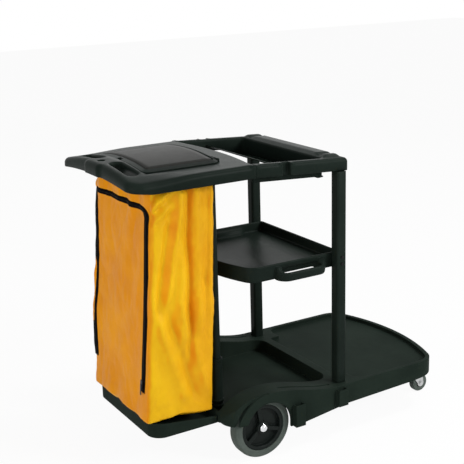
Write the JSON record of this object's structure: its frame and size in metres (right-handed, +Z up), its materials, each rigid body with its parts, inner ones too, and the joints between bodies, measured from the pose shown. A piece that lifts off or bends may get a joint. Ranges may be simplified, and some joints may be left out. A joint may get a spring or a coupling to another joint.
{
  "type": "janitor cart",
  "caption": "Moulded housekeeping cart with a front platform, middle shelf, top tray, push handle and a lidded frame that holds a zipped waste bag.",
  "frame": {"origin": "on the floor, under the middle of the bounding box", "axes": "+X along the cart to the front platform, away from the push handle, +Z up, +Y to the cart's left"},
  "size_m": [1.168, 0.606, 0.9573],
  "materials": {
    "black_plastic": "satin moulded",
    "grey_rubber": "matte",
    "zinc_steel": "zinc plated",
    "chrome_cap": "polished",
    "yellow_nylon": "coated nylon",
    "black_tape": "woven tape"
  },
  "bodies": {
    "cart": {"base_deck": "black_plastic", "bag_platform": "black_plastic", "platform_straps": "zinc_steel", "strap_screws": "zinc_steel", "axle_brackets": "zinc_steel", "rear_axle": "zinc_steel", "front_post_right": "black_plastic", "front_post_left": "black_plastic", "rear_post_right": "black_plastic", "rear_post_left": "black_plastic", "post_tower_right": "black_plastic", "post_tower_left": "black_plastic", "rear_brace": "black_plastic", "mid_shelf": "black_plastic", "shelf_screws": "zinc_steel", "top_tray": "black_plastic", "bag_frame": "black_plastic", "seam_straps": "zinc_steel", "hinge_pins": "zinc_steel", "bag_shell": "yellow_nylon", "bag_clips": "black_plastic", "zip_tape": "black_tape", "axle_cap_right": "chrome_cap", "axle_cap_left": "chrome_cap", "caster_plate_right": "zinc_steel", "caster_plate_left": "zinc_steel", "king_pin_right": "zinc_steel", "king_pin_left": "zinc_steel", "caster_screws": "zinc_steel"},
    "lid": {"lid": "black_plastic"},
    "zip_slider": {"zip_slider": "zinc_steel"},
    "rear_wheel_right": {"tyre_right": "grey_rubber", "wheel_hub_right": "black_plastic"},
    "caster_swivel_right": {"caster_fork_right": "zinc_steel", "caster_axle_right": "zinc_steel"},
    "caster_roll_right": {"caster_wheel_right": "grey_rubber"},
    "rear_wheel_left": {"tyre_left": "grey_rubber", "wheel_hub_left": "black_plastic"},
    "caster_swivel_left": {"caster_fork_left": "zinc_steel", "caster_axle_left": "zinc_steel"},
    "caster_roll_left": {"caster_wheel_left": "grey_rubber"}
  },
  "joints": [
    {"name": "rear_wheel_right_spin", "type": "hinge", "parent": "cart", "child": "rear_wheel_right", "pos_m": [-0.175, -0.248, 0.1], "axis": [0, 1, 0], "continuous": true},
    {"name": "caster_right_swivel", "type": "hinge", "parent": "cart", "child": "caster_swivel_right", "pos_m": [0.514, -0.16, 0.084], "axis": [0, 0, 1], "continuous": true},
    {"name": "caster_right_spin", "type": "hinge", "parent": "caster_swivel_right", "child": "caster_roll_right", "pos_m": [0.552, -0.16, 0.032], "axis": [0, 1, 0], "continuous": true},
    {"name": "rear_wheel_left_spin", "type": "hinge", "parent": "cart", "child": "rear_wheel_left", "pos_m": [-0.175, 0.248, 0.1], "axis": [0, 1, 0], "continuous": true},
    {"name": "caster_left_swivel", "type": "hinge", "parent": "cart", "child": "caster_swivel_left", "pos_m": [0.514, 0.16, 0.084], "axis": [0, 0, 1], "continuous": true},
    {"name": "caster_left_spin", "type": "hinge", "parent": "caster_swivel_left", "child": "caster_roll_left", "pos_m": [0.552, 0.16, 0.032], "axis": [0, 1, 0], "continuous": true},
    {"name": "lid_hinge", "type": "hinge", "parent": "cart", "child": "lid", "pos_m": [-0.234, 0, 0.9383], "axis": [0, 1, 0], "range_deg": [0, 105]},
    {"name": "zip_slide", "type": "slide", "parent": "cart", "child": "zip_slider", "axis": [0.0677, -0.0153, 0.9976], "range_m": [0, 0.472]}
  ]
}
